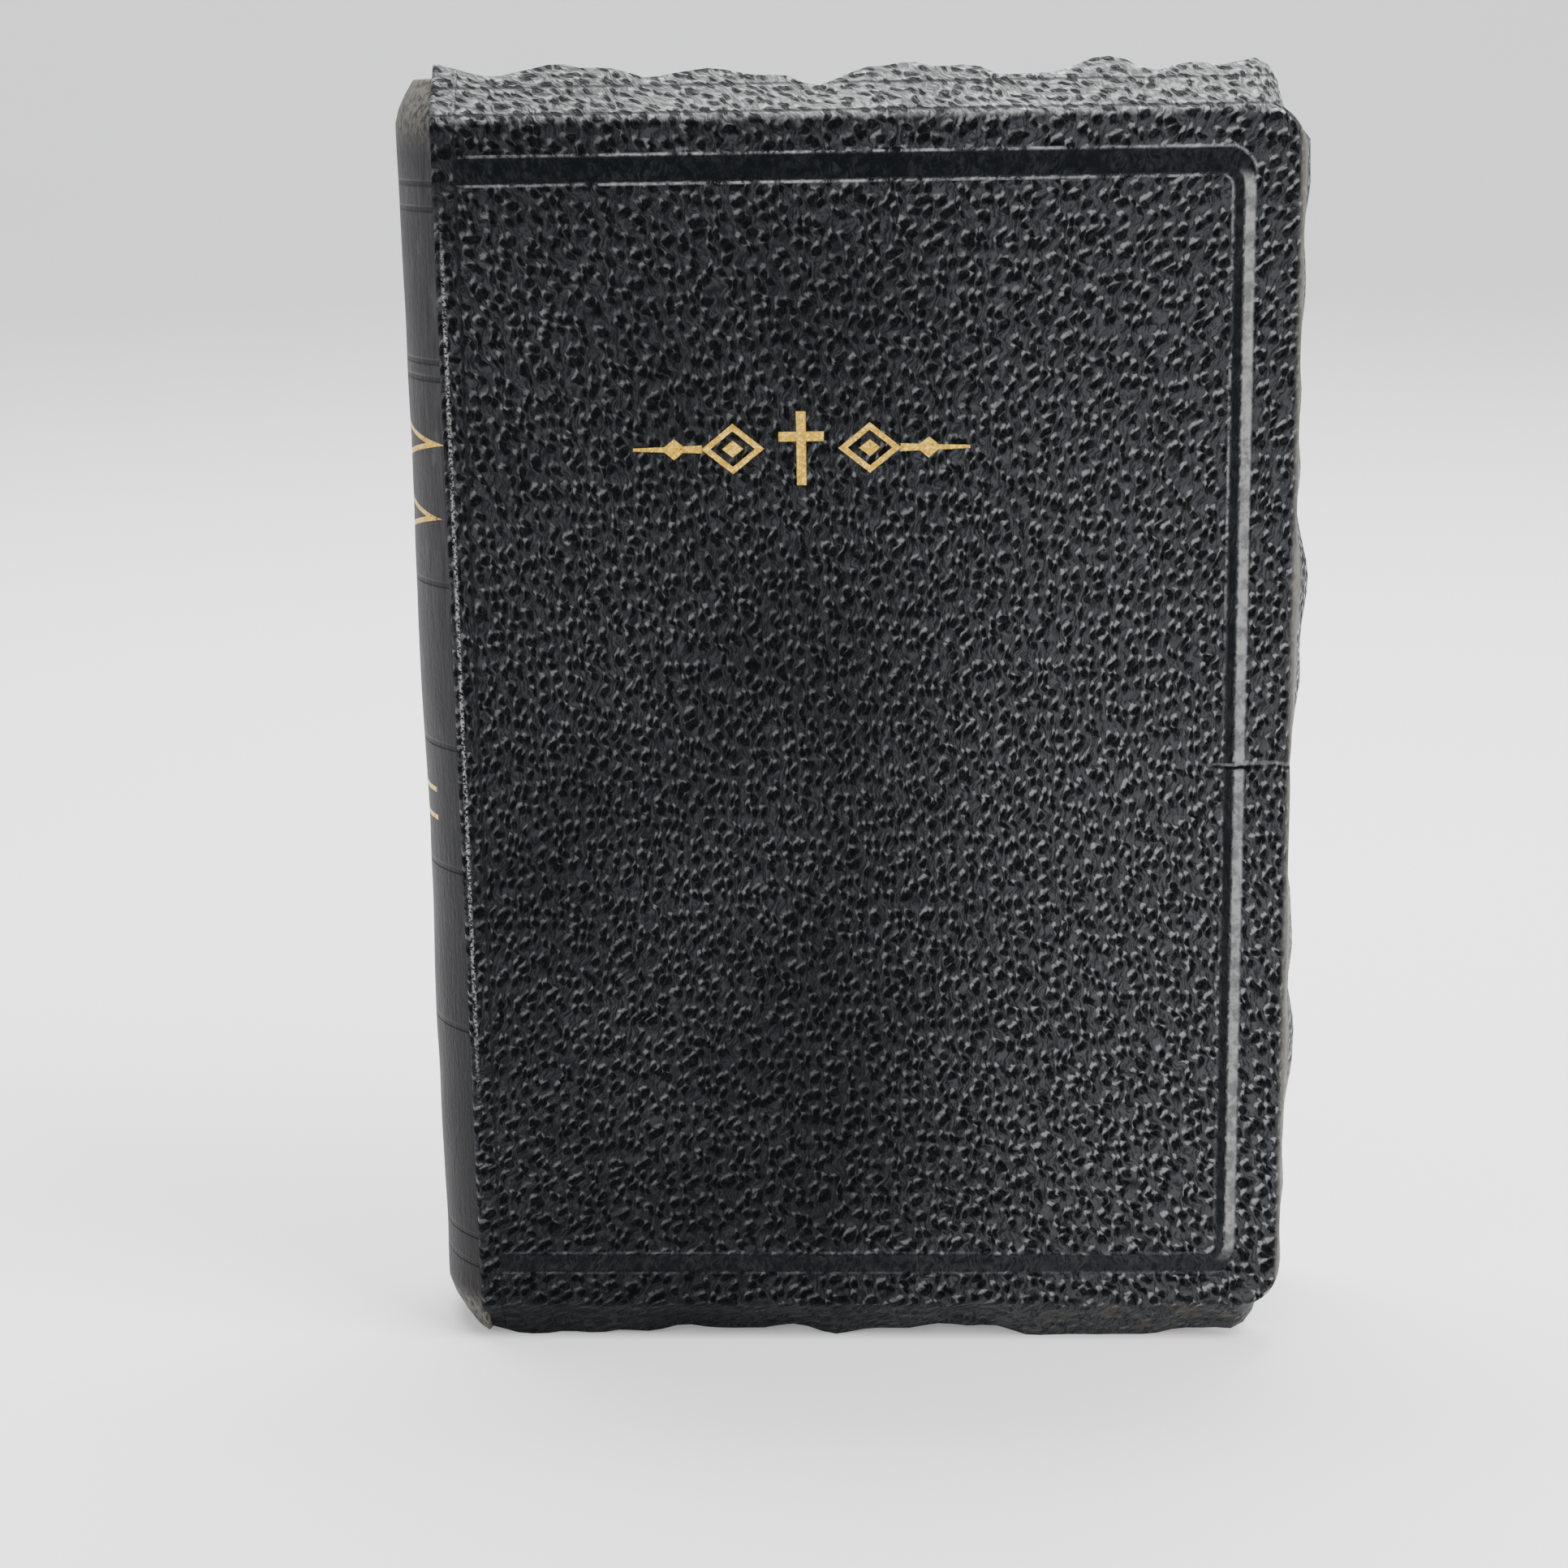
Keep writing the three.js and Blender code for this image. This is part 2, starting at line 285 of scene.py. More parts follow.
# %% [markdown]
# ## Pebble grain
# The hide was boarded and pressed: dark pits, longer than they are wide, lie between smooth ridges that
# catch the light. The pull of the press fans the grain out from the middle of the cover, so the width is
# divided by a factor that grows towards head and tail. Cells make the pits, the same cells lifted a little
# make the rim over each pit, which carries a painted highlight, and stretched noise makes the streaks.

# %% The grain, shared by both covers
GRAIN_FAN = 4.5e-5
# RIM_LIFT and RIM_SHIFT move the rim up and to the left of each pit, where the highlight is painted.
PIT_WIDE, PIT_LONG, RIM_LIFT, RIM_SHIFT = 1.4, 2.35, 0.8, 0.3
COVER_MIDDLE_X = (JOINT_X + FOLD_X) / 2


def pebble_grain(finish):
    """Pits, the rim over each of them, which carries the painted highlight, and the fine streaks of the
    grained hide, each 0 to 1.
    """
    inwards = abs(FACE_Y / MM) - abs(finish.y)
    up = finish.z - FOLD_MIDDLE / MM
    end = up.rise(-40, 40) * 2 - 1
    across = (finish.x - COVER_MIDDLE_X / MM) / (1 + GRAIN_FAN * up * up) + inwards
    along = up + inwards * end
    warp = finish.noise(finish.place, 0.3, 3.0)
    ragged = finish.noise(finish.vector(across * 1.7, along * 0.8, 0), 1.0, 3.0, 0.6)
    u, v = across + warp * 3.4, along + warp * 2.0
    pit = finish.cells(finish.vector(u / PIT_WIDE, v / PIT_LONG, 0)) + ragged * 0.55
    pits = 1 - pit.rise(0.50, 0.70)
    # Painted highlight: the rim is the pit cells moved up and left, minus the pits themselves.
    lifted = finish.vector((u + RIM_SHIFT) / PIT_WIDE, (v - RIM_LIFT) / PIT_LONG, 0)
    rims_and_painted_highlight = (1 - (finish.cells(lifted) + ragged * 0.55).rise(0.40, 0.60)) * (1 - pits)
    streaks = finish.noise(finish.vector(u * 3.0, v * 0.62, 0), 1.0, 3.0, 0.62).rise(0.38, 0.62)
    return pits * (0.55 + streaks * 0.1 + ragged.rise(0.3, 0.6) * 0.4), rims_and_painted_highlight, streaks


# %% [markdown]
# ## Blind tooling
# A warm tool pressed a smooth channel into the hide, just inside the fold line, with rounded corners at
# the fore edge. A rounded box's distance does this: below zero is inside. The channel is what lies inside
# the outer box and outside the inner one; a thin lip of pushed-up leather with a painted highlight runs
# along both.

# %% The tooled frame
def rounded_box(finish, left, right, bottom, top, radius):
    """Distance from a rounded box in the plane of the cover, in millimetres, negative inside."""
    wide = abs(finish.x - (left + right) / 2) - ((right - left) / 2 - radius)
    tall = abs(finish.z - (bottom + top) / 2) - ((top - bottom) / 2 - radius)
    wide_out, tall_out = wide.most(0), tall.most(0)
    return (wide_out * wide_out + tall_out * tall_out).root() + wide.most(tall).least(0) - radius


def tooled_frame(finish):
    """The dark channel, its lips and the raised bead beside it at the fore edge; lips and bead carry a
    painted highlight.
    """
    left, right = JOINT_X / MM, FOLD_X / MM
    bottom, top = FOLD_BOTTOM / MM, FOLD_TOP / MM
    past_joint = (finish.x - left).rise(2.8, 3.3)
    outer = rounded_box(finish, left - 30, right - 6.2, bottom + 5.4, top - 5.2, 4.0)
    inner = rounded_box(finish, left - 30, right - 9.2, bottom + 8.4, top - 9.0, 2.0)
    at_side = (finish.x - (right - 9.6)).rise(0, 0.5)
    at_side = at_side * (top - 9.5 - finish.z).rise(-1.5, 1.5) * (finish.z - bottom - 8.5).rise(-1.5, 1.5)
    whole = (1 - outer.rise(-0.3, 0.2)) * inner.rise(-0.1, 0.3)
    line = inner.band(0.65, 0.35, 0.5)
    channel = whole * (1 - at_side) + line * at_side
    bead = inner.band(2.3, 0.55, 0.5) * at_side
    lips = (outer.band(0.25, 0.05, 0.3) * (1 - at_side)).most(inner.band(-0.3, 0.04, 0.3))
    upright = (finish.x - left - 2.9).band(0, 0.1, 0.25)
    return (channel * past_joint).most(upright * 0.7), lips * past_joint, bead


# %% [markdown]
# ## Gilt without words
# The real cover carries a line of gilt. Gold foil has no thickness of its own, so it belongs to the
# leather's finish and not to a separate piece. A plain cross between tapering rules and lozenges takes the
# place and the width of the line, and it wears away in patches.

# %% Gilt ornaments
GILT_X, GILT_Z = -7.5, 147.8


def cover_gilt(finish):
    across, up = finish.x - GILT_X, finish.z - GILT_Z
    reach, rise = abs(across), abs(up)
    upright = across.band(0, 0.68, 0.12) * up.band(0, 5.6, 0.12)
    arms = across.band(0, 3.4, 0.12) * (up - 1.8).band(0, 0.68, 0.12)
    diamond = abs(reach - 10.5) * 0.8 + rise
    ring = diamond.band(3.3, 0.5, 0.12).most(1 - diamond.rise(1.2, 1.4))
    bead = 1 - (abs(reach - 19.5) * 0.8 + rise).rise(1.5, 1.7)
    rule = reach.band(20.5, 5.2, 0.2) * (1 - (rise + (reach - 15) * 0.035).rise(0.55, 0.68))
    return upright.most(arms).most(ring).most(bead).most(rule)


def gild(finish, mask, colour, rough, wear):
    """Lays worn gold over a finish where the mask is 1; wear is 0 where the foil is whole."""
    foil = mask * (1 - wear)
    glints = finish.noise(finish.place, 2.2, 2.0, 0.6).rise(0.45, 0.65)
    fresh = finish.mix(glints, (0.50, 0.29, 0.028), (0.80, 0.56, 0.13))
    gold = finish.mix(wear, fresh, (0.30, 0.17, 0.03))
    finish.set(Base_Color=finish.mix(foil, colour, gold))
    finish.set(Metallic=foil * 0.6, Roughness=rough * (1 - foil) + foil * 0.36)


# %% [markdown]
# ## The cover's finish
# The pits carry painted shade and are nearly black. The ridges carry a painted sheen that grows towards
# the fore edge, and the bent-in head is painted silvery grey as painted sheen. Handling has greyed the
# fore-edge fold and the joint. A thin coat lies only where the sheen is painted, so the pits and the tooled
# channel stay nearly black.

# %% Cover leather
CREASE_Z = 97.8


def cover_leather(name, gilded):
    finish = Finish(name, laid=True)
    pits, rims_and_painted_highlight, streaks = pebble_grain(finish)
    channel, lips, bead = tooled_frame(finish)
    broad = finish.noise(finish.place, 0.025, 3.0, 0.6).rise(0.38, 0.64)
    patchy = finish.noise(finish.place, 0.5, 3.0, 0.7).rise(0.38, 0.62)
    past_top = (finish.z - FOLD_TOP / MM).rise(-0.5, 0.8)
    past_bottom = (FOLD_BOTTOM / MM - finish.z).rise(-0.4, 1.4)
    inwards = abs(FACE_Y / MM) - abs(finish.y)
    past_side = (finish.x - FOLD_X / MM).rise(0.1, 1.2) * (1 - inwards.rise(1.6, 4.0))
    fore_edge = (finish.x - COVER_MIDDLE_X / MM).rise(-10, 52)
    low = (FOLD_MIDDLE / MM - finish.z).rise(-20, 60)
    # Painted sheen: the hide's colour grows lighter towards the fore edge and a little darker low on the
    # cover.
    painted_sheen = 0.50 + fore_edge * 1.35 + broad * 0.3 - low * 0.1
    plain = channel.most(bead).most(past_side * 0.9).most(past_bottom * 0.75)
    pits, rims_and_painted_highlight = pits * (1 - plain), rims_and_painted_highlight * (1 - plain)
    shade = (0.15 + streaks * 0.85) * painted_sheen
    hide = finish.mix(shade, (0.0035, 0.0042, 0.0055), (0.030, 0.032, 0.035))
    # Painted highlight on the rim over each pit, stronger where the sheen is painted.
    hide = finish.mix(rims_and_painted_highlight * (0.25 + patchy * 0.75) * painted_sheen, hide, (0.125, 0.130, 0.135))
    # Painted shade: the pits are painted nearly black.
    hide = finish.mix(pits, hide, (0.0007, 0.0009, 0.0013))
    foot = (FOLD_BOTTOM / MM + 14 - finish.z).rise(-2, 2)
    sunk = channel * (0.97 - foot * 0.35 - fore_edge * 0.05)
    hide = finish.mix(sunk, hide, (0.0014, 0.0022, 0.0032))
    hide = finish.mix(channel * streaks * patchy * 0.10, hide, (0.10, 0.10, 0.10))
    # Painted highlight along the lips of the channel, stronger on the upper half of the cover.
    high = (finish.z - FOLD_MIDDLE / MM).rise(0, 40)
    hide = finish.mix(lips * patchy * (0.12 + high * (0.3 + broad * 0.4)), hide, (0.30, 0.31, 0.32))
    # Painted highlight on the raised bead at the fore edge.
    hide = finish.mix(bead * (0.4 + patchy * 0.6), hide, (0.21, 0.21, 0.21))
    scuffs = finish.noise(finish.place, 0.35, 4.0, 0.65).rise(0.46, 0.62)
    # Painted sheen: the bent-in head is painted silvery grey, except in its pits.
    painted_head_sheen = past_top * (0.12 + streaks * 0.45 + rims_and_painted_highlight * 0.5 + broad * 0.2) * (1 - pits * 0.9)
    hide = finish.mix(painted_head_sheen, hide, (0.36, 0.37, 0.37))
    above_fold = finish.z - FOLD_TOP / MM
    fine_lines = above_fold.band(1.1, 0.08, 0.22).most(above_fold.band(5.0, 0.08, 0.22)) * past_top
    hide = finish.mix(fine_lines * 0.8, hide, (0.03, 0.03, 0.032))
    hide = finish.mix(past_bottom * scuffs * fore_edge * 0.6, hide, (0.060, 0.052, 0.040))
    hide = finish.mix(past_side * (0.6 + scuffs * 0.4), hide, (0.115, 0.110, 0.098))
    # Painted shade in the crease across the fore edge, and a painted highlight just above it.
    crease = finish.z + finish.noise(finish.place, 0.3, 2.0) * 1.5
    creased = (finish.x - FOLD_X / MM).rise(-15, -8)
    fold_line = crease.band(CREASE_Z, 0.12, 0.3) * creased
    hide = finish.mix(fold_line, hide, (0.0012, 0.0013, 0.0015))
    hide = finish.mix(crease.band(CREASE_Z + 0.6, 0.1, 0.3) * creased * 0.5, hide, (0.16, 0.16, 0.16))
    joint = (finish.x - JOINT_X / MM - 0.4).band(0, 0.1, 0.35)
    along = finish.z.band(112, 52, 24)
    rubbed = joint * along * finish.noise(finish.place, 2.2, 3.0, 0.7).rise(0.46, 0.56)
    hide = finish.mix(rubbed * 0.8, hide, (0.34, 0.335, 0.33))
    rough = 0.5 - streaks * 0.1 + pits * 0.3 - lips * 0.1
    relief = streaks * 0.35 * (1 - plain) + rims_and_painted_highlight * 0.25 - pits * 0.9
    relief = relief - channel * (0.6 - foot * 0.2) + lips * 0.3 + bead * 0.5
    relief = relief - fine_lines * 0.3 - fold_line * 0.7
    finish.set(Base_Color=hide, Roughness=rough, Specular_IOR_Level=0.05, Coat_Roughness=0.34)
    finish.set(Coat_Weight=(rims_and_painted_highlight * 0.7 + streaks * 0.18) * (1 - pits) * (1 - plain) * painted_sheen)
    if gilded:
        wear = finish.noise(finish.place, 1.8, 3.0, 0.7).rise(0.58, 0.72) * 0.7
        stamp = cover_gilt(finish)
        gild(finish, stamp, hide, rough, wear)
        relief = relief * (1 - stamp * 0.85) - stamp * 0.5
    finish.bump(relief, 0.6 * MM, 1.0)
    return finish


front_hide = cover_leather("front_cover_hide", True)
back_hide = cover_leather("back_cover_hide", False)

# %% [markdown]
# ## Cutting and bending the cover
# A maker cuts the hide with rounded corners and bends its rim in over the page edges. The panel starts as
# a plane on the fold lines; its two fore-edge corners are bevelled round, and its rim is extruded row by
# row, each row turned a little further in. How far depends on the side: the head stands open, the fore
# edge is bent right round, and the spare leather at a corner is pleated deeper in. Planes then cut the
# sheet into a net fine enough to bend.

# %% Flap shapes and the net
FLAPS = {
    "head": {"length": 9.0 * MM, "bend": math.radians(40)},
    "fore": {"length": 7.6 * MM, "bend": math.radians(78)},
    "tail": {"length": 8.0 * MM, "bend": math.radians(28)},
}
PLEAT = math.radians(38)
BEND_RADIUS = 1.5 * MM
BEND_ROWS, FLAP_ROWS = 4, 5
NET = 2.4 * MM


def flap_at(x, z):
    """The way out of the rim at a place on it, and the length and bend of its flap there."""
    right = max(x - (FOLD_X - CORNER_RADIUS), 0)
    above = max(z - (FOLD_TOP - CORNER_RADIUS), 0)
    below = max(FOLD_BOTTOM + CORNER_RADIUS - z, 0)
    angle = math.atan2(above - below, right)
    share = abs(angle) / (math.pi / 2)
    end = FLAPS["head"] if above > 0 else FLAPS["tail"]
    length = FLAPS["fore"]["length"] * (1 - share) + end["length"] * share
    bend = FLAPS["fore"]["bend"] * (1 - share) + end["bend"] * share
    bend += PLEAT * math.sin(math.pi * share) ** 2
    return Vector((math.cos(angle), 0, math.sin(angle))), length, bend


def flap_row(length, bend, row):
    """How far out and how far in a row of the flap lies, on its outer face."""
    angle = bend * min(row, BEND_ROWS) / BEND_ROWS
    out, into = BEND_RADIUS * math.sin(angle), BEND_RADIUS * (1 - math.cos(angle))
    straight = (length - BEND_RADIUS * bend) * max(row - BEND_ROWS, 0) / FLAP_ROWS
    return out + straight * math.cos(bend), into + straight * math.sin(bend)


def lies_at(edge, x):
    return all(abs(point.co.x - x) < 1e-6 for point in edge.verts)


def bent_sheet():
    """The front cover's outer face as one sheet, its rim bent in towards +Y."""
    clear_selection()
    centre = ((JOINT_X + FOLD_X) / 2, FACE_Y, FOLD_MIDDLE)
    bpy.ops.mesh.primitive_plane_add(size=1, location=centre, rotation=(math.pi / 2, 0, 0))
    sheet = bpy.context.object
    sheet.scale = (FOLD_X - JOINT_X, FOLD_TOP - FOLD_BOTTOM, 1)
    bpy.ops.object.transform_apply(location=True, rotation=True, scale=True)
    bpy.ops.object.mode_set(mode="EDIT")
    pick_points(sheet, lambda co: co.x > 0)
    bpy.ops.mesh.bevel(offset=CORNER_RADIUS, segments=9, affect="VERTICES", profile=0.5)
    for row in range(1, BEND_ROWS + FLAP_ROWS + 1):
        extrude_edges(sheet, lambda edge: edge.is_boundary and not lies_at(edge, JOINT_X))
        mesh = bmesh.from_edit_mesh(sheet.data)
        for point in mesh.verts:
            if point.select:
                way, length, bend = flap_at(point.co.x, point.co.z)
                out, into = flap_row(length, bend, row)
                before_out, before_in = flap_row(length, bend, row - 1)
                point.co += way * (out - before_out) + Vector((0, into - before_in, 0))
        bmesh.update_edit_mesh(sheet.data)
    cut_across(steps(JOINT_X, FOLD_X - CORNER_RADIUS, NET), 0)
    cut_across(steps(FOLD_BOTTOM + CORNER_RADIUS, FOLD_TOP - CORNER_RADIUS, NET), 2)
    return sheet


# %% [markdown]
# ## A limp, handled hide
# Nothing on an old limp binding is straight: the head edge rolls up and down, the fore edge billows out
# and is creased half way up, and the panel is a little pillowed. Each point past the fold is moved along
# its flap by smooth noise that grows with its distance from the fold, so the fold line itself stays true.

# %% Waves, the crease and the pillow
EDGE_CREASE_Z = 97.5 * MM


def past_fold(co):
    return max(co.x - FOLD_X, co.z - FOLD_TOP, FOLD_BOTTOM - co.z, 0)


def soften(sheet, seed):
    for point in sheet.data.vertices:
        co = point.co
        reach = min(past_fold(co) / (5 * MM), 1)
        depth = min((co.y - FACE_Y) / (6 * MM), 1)
        along = Vector((co.x / MM * 0.045, seed, co.z / MM * 0.045))
        wave = noise.noise(along)
        ripple = noise.noise(along * 2.7 + Vector((0, 5, 0)))
        fine = noise.noise(along * 6 + Vector((0, 9, 0)))
        if co.z > FOLD_TOP:
            co.z += (wave * 4.2 + ripple * 2.2 + fine * 0.3) * MM * reach
            co.y += (ripple * 1.7 + fine * 0.4) * MM * reach
        elif co.z < FOLD_BOTTOM:
            co.z += max(0.5 + wave * 2.2 + ripple * 1.4, 0) * MM * reach
            co.y += (wave * 1.2 + ripple * 1.0) * MM * reach
        if co.x > FOLD_X - 2 * MM:
            bulge = (wave * 1.5 + ripple * 0.9) * MM
            crease = math.exp(-(((co.z - EDGE_CREASE_Z) / (1.6 * MM)) ** 2)) * 0.8 * MM
            co.x += (bulge - crease) * depth
        side = (co.x - JOINT_X) / (FOLD_X - JOINT_X)
        height = (co.z - FOLD_BOTTOM) / (FOLD_TOP - FOLD_BOTTOM)
        if 0 < side < 1 and 0 < height < 1:
            pillow = (16 * side * (1 - side) * height * (1 - height)) ** 0.5
            co.y -= (0.35 * pillow + 0.25 * noise.noise(along * 0.8) * pillow) * MM


# %% [markdown]
# ## Thickness and joint
# At the joint the hide rolls over the shoulder of the book, so the joint side is drawn on a little and
# turned in. Solidify gives the sheet its millimetre of leather on the inner side, and a small bevel rounds
# the cut edge.
# The back cover is the same sheet turned over, with its head edge lying a little lower.

# %% Front and back cover leather
def round_joint(sheet):
    """Draws the joint side of the sheet over the shoulder, towards the spine and in."""
    for toward, into in ((0.35, 0.12), (0.3, 0.3), (0.15, 0.5)):
        left = min(point.co.x for point in bmesh.from_edit_mesh(sheet.data).verts)
        extrude_edges(sheet, lambda edge: lies_at(edge, left), (-toward * MM, into * MM, 0))


BACK_HEAD_DROP = 0.3


def make_cover(name, side, seed, finish):
    sheet = bent_sheet()
    round_joint(sheet)
    bpy.ops.object.mode_set(mode="OBJECT")
    soften(sheet, seed)
    if side == "back":
        for point in sheet.data.vertices:
            point.co.y = -point.co.y
            point.co.z -= max(point.co.z - FOLD_TOP, 0) * BACK_HEAD_DROP
    weld(sheet)
    facing = sum(p.normal.y * p.area for p in sheet.data.polygons)
    if (facing > 0) == (side == "front"):
        sheet.data.flip_normals()
    apply_modifier(sheet, "SOLIDIFY", thickness=LEATHER, offset=-1, use_even_offset=False)
    apply_modifier(sheet, "BEVEL", width=0.3 * MM, segments=2, angle_limit=math.radians(60))
    finish_mesh(sheet, name, 50)
    finish.on(sheet)
    keep_places(sheet)
    sign = -1 if side == "front" else 1
    start = (JOINT_X - 0.8 * MM, sign * abs(FACE_Y), FOLD_MIDDLE)
    end = (JOINT_X + 2.6 * MM, sign * abs(FACE_Y), FOLD_MIDDLE)
    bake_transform(sheet)
    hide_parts(side + "_cover_leather")


make_cover("front_cover_hide", "front", 3.7, front_hide)
make_cover("back_cover_hide", "back", 11.2, back_hide)

# %% [markdown]
# ## The back of the book
# Hands hold a book by its spine, so its grain is rubbed smooth: a dark grey hide with fine creases along
# its length and faint blind bands across it. The light streaks are where it has dried, and the caps at
# head and tail are rubbed to tan.

# %% Spine leather finish
BLIND_BANDS = (188.3, 184.5, 161.4, 158.8, 126.8, 100.7, 80.5, 54.0, 18.3, 13.3)
SPINE_LOZENGES = ((148.7, 3.3, 1.2), (137.1, 3.1, 1.1))
SPINE_BARS = (92.8, 88.2)


def spine_gilt(finish):
    """Two long lozenges near the head and a pair of short bars below them."""
    beside = abs(finish.y)
    gilt = beside * 0
    for height, size, core in SPINE_LOZENGES:
        slope = beside * 0.23 + abs(finish.z - height)
        gilt = gilt.most(slope.band(size, 0.35, 0.12)).most(1 - slope.rise(core, core + 0.15))
    for height in SPINE_BARS:
        gilt = gilt.most(finish.z.band(height, 0.35, 0.1) * (1 - beside.rise(10.5, 10.8)))
    return gilt


def spine_leather():
    finish = Finish("spine_hide")
    long_place = finish.vector(finish.x * 1.5, finish.y * 1.5, finish.z * 0.12)
    creases = finish.noise(long_place, 1.0, 4.0, 0.65)
    grain = finish.noise(finish.vector(finish.x, finish.y, finish.z * 0.55), 1.6, 3.0, 0.6)
    broad = finish.noise(finish.place, 0.03, 3.0, 0.6)
    slant = finish.vector(finish.x * 0.2, finish.y * 0.25, finish.z * 0.16 + finish.y * 0.12)
    streaks = finish.noise(slant, 0.9, 3.0, 0.6).rise(0.56, 0.7)
    hide = finish.mix(creases.rise(0.3, 0.7), (0.014, 0.0135, 0.0145), (0.040, 0.038, 0.040))
    hide = finish.mix(streaks * 0.3, hide, (0.085, 0.08, 0.078))
    hide = finish.mix(broad.rise(0.5, 0.7) * 0.5, hide, (0.018, 0.017, 0.018))
    # Painted shade: the lower part of the spine is painted darker.
    low = (FOLD_MIDDLE / MM - finish.z).rise(-60, 90)
    hide = finish.mix(low * 0.9, hide, (0.005, 0.005, 0.0055))
    cap = (finish.z - FOLD_TOP / MM).rise(-5.0, 2.0).most((FOLD_BOTTOM / MM - finish.z).rise(-2.0, 3.0))
    hide = finish.mix(cap * grain.rise(0.35, 0.6) * 0.6, hide, (0.16, 0.15, 0.12))
    bands = finish.z * 0
    for height in BLIND_BANDS:
        bands = bands.most(finish.z.band(height, 0.25, 0.35))
    hide = finish.mix(bands * 0.5, hide, (0.006, 0.006, 0.006))
    rough = 0.46 + creases * 0.16
    stamp = spine_gilt(finish)
    wear = finish.noise(finish.place, 1.2, 3.0, 0.7).rise(0.52, 0.7) * 0.8
    finish.set(Specular_IOR_Level=0.12)
    gild(finish, stamp, hide, rough, wear)
    relief = creases * 0.4 + grain * 0.35 + streaks * 0.15
    finish.bump(relief * (1 - stamp * 0.7) - bands * 0.6 - stamp * 0.3, 0.45 * MM, 0.85)
    return finish


# %% [markdown]
# The back is part of a tube, so a single upright edge is spun round the tube's centre. Head and tail are
# then drawn in to form the caps, which shelter the bands below them.

# %% Spine leather mesh
def make_spine():
    half = abs(FACE_Y) - 0.25 * MM
    rise = JOINT_X - spine_low.x
    radius = (half**2 + rise**2) / (2 * rise)
    centre_x = spine_low.x + radius
    sweep = 2 * math.asin(half / radius)
    clear_selection()
    place, turned = (JOINT_X, 0, FOLD_MIDDLE), (0, math.pi / 2, 0)
    bpy.ops.mesh.primitive_plane_add(size=2 * half, location=place, rotation=turned)
    spine = bpy.context.object
    bpy.ops.object.transform_apply(location=True, rotation=True, scale=True)
    bpy.ops.object.mode_set(mode="EDIT")
    pick_points(spine, lambda co: co.y > 0)
    bpy.ops.mesh.delete(type="VERT")
    mesh = bmesh.from_edit_mesh(spine.data)
    low, high = sorted(mesh.verts, key=lambda v: v.co.z)
    foot, head = spine_low.z + 0.4 * MM, spine_high.z - 0.6 * MM
    low.co = Vector((JOINT_X, -half, foot))
    high.co = Vector((JOINT_X, -half, head))
    bmesh.update_edit_mesh(spine.data)
    bpy.ops.mesh.select_all(action="SELECT")
    bpy.ops.mesh.spin(steps=36, angle=sweep, center=(centre_x, 0, 0), axis=(0, 0, 1))
    cut_across(steps(foot, head, 2.2 * MM), 2)
    bpy.ops.object.mode_set(mode="OBJECT")
    for point in spine.data.vertices:
        co = point.co
        over = max(co.z - FOLD_TOP, 0) / (spine_high.z - FOLD_TOP)
        under = max(FOLD_BOTTOM - co.z, 0) / (FOLD_BOTTOM - spine_low.z)
        share = over**1.3 * 0.36 + under**1.3 * 0.22
        co.y *= 1 - share
        co.x += (JOINT_X - co.x) * min(over**1.5 * 0.42 + under**1.5 * 0.5, 0.9)
        place = Vector((co.x, co.y, co.z)) / MM
        bulge = noise.noise(place * 0.03) * 0.5 + noise.noise(place * 0.11) * 0.12
        edge = 1 - (abs(co.y) / abs(FACE_Y)) ** 4
        co.x += bulge * MM * max(edge, 0)
    weld(spine)
    if sum(p.normal.x * p.area for p in spine.data.polygons) > 0:
        spine.data.flip_normals()
    apply_modifier(spine, "SOLIDIFY", thickness=0.9 * MM, offset=-1)
    apply_modifier(spine, "BEVEL", width=0.3 * MM, segments=2, angle_limit=math.radians(60))
    finish_mesh(spine, "spine_hide", 50)
    spine_leather().on(spine)
    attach(spine, "text_block")
    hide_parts("spine_leather")


make_spine()

# %% [markdown]
# ## The turning leaves
# A bound leaf doesn't swing like a door: it stays in the gutter at its root and rolls over. Each turning
# leaf is a plane cut into strips near its root and thickened.

# %% Paper finishes
def paper_finish(name, light, dark, edge, laid=False):
    """Thin matt paper: fibres on its faces, and the stained leaf ends on its rim."""
    finish = Finish(name, laid)
    if laid:
        low, high = leaf_low / MM, leaf_high / MM
        rim = rounded_box(finish, low.x - 30, high.x, low.z, high.z, 5).rise(-0.15, -0.05)
    else:
        normal = finish.node("ShaderNodeNewGeometry", {}, {}, "Normal")
        parts = finish.tree.nodes.new("ShaderNodeSeparateXYZ")
        finish.tree.links.new(normal.socket, parts.inputs[0])
        rim = 1 - abs(Value(finish, parts.outputs[1])).rise(0.4, 0.7)
    fibres = finish.noise(finish.place, 1.3, 4.0, 0.6)
    mottle = finish.noise(finish.place, 0.05, 3.0, 0.6)
    face = finish.mix(fibres.rise(0.3, 0.7) * 0.6 + mottle * 0.4, dark, light)
    across = finish.vector(finish.y * 9, finish.x * 0.02, finish.z * 0.02)
    leaves = finish.noise(across, 1.0, 3.0, 0.7)
    ends = finish.mix(leaves.rise(0.3, 0.7), tuple(c * 0.45 for c in edge), edge)
    finish.set(Base_Color=finish.mix(rim, face, ends), Roughness=0.88 - rim * 0.25, Specular_IOR_Level=0.35)
    finish.bump(leaves * rim * 0.8 + fibres * 0.1, 0.1 * MM, 0.8)
    return finish


PAGE = ((0.82, 0.77, 0.66), (0.74, 0.68, 0.56), (0.27, 0.020, 0.018))
LINING = ((0.030, 0.030, 0.033), (0.018, 0.018, 0.02), (0.22, 0.020, 0.018))
page_paper = paper_finish("bible_paper", *PAGE)
turning_paper = paper_finish("turning_paper", *PAGE, laid=True)
endpaper = paper_finish("black_endpaper", *LINING)
turning_endpaper = paper_finish("turning_endpaper", *LINING, laid=True)


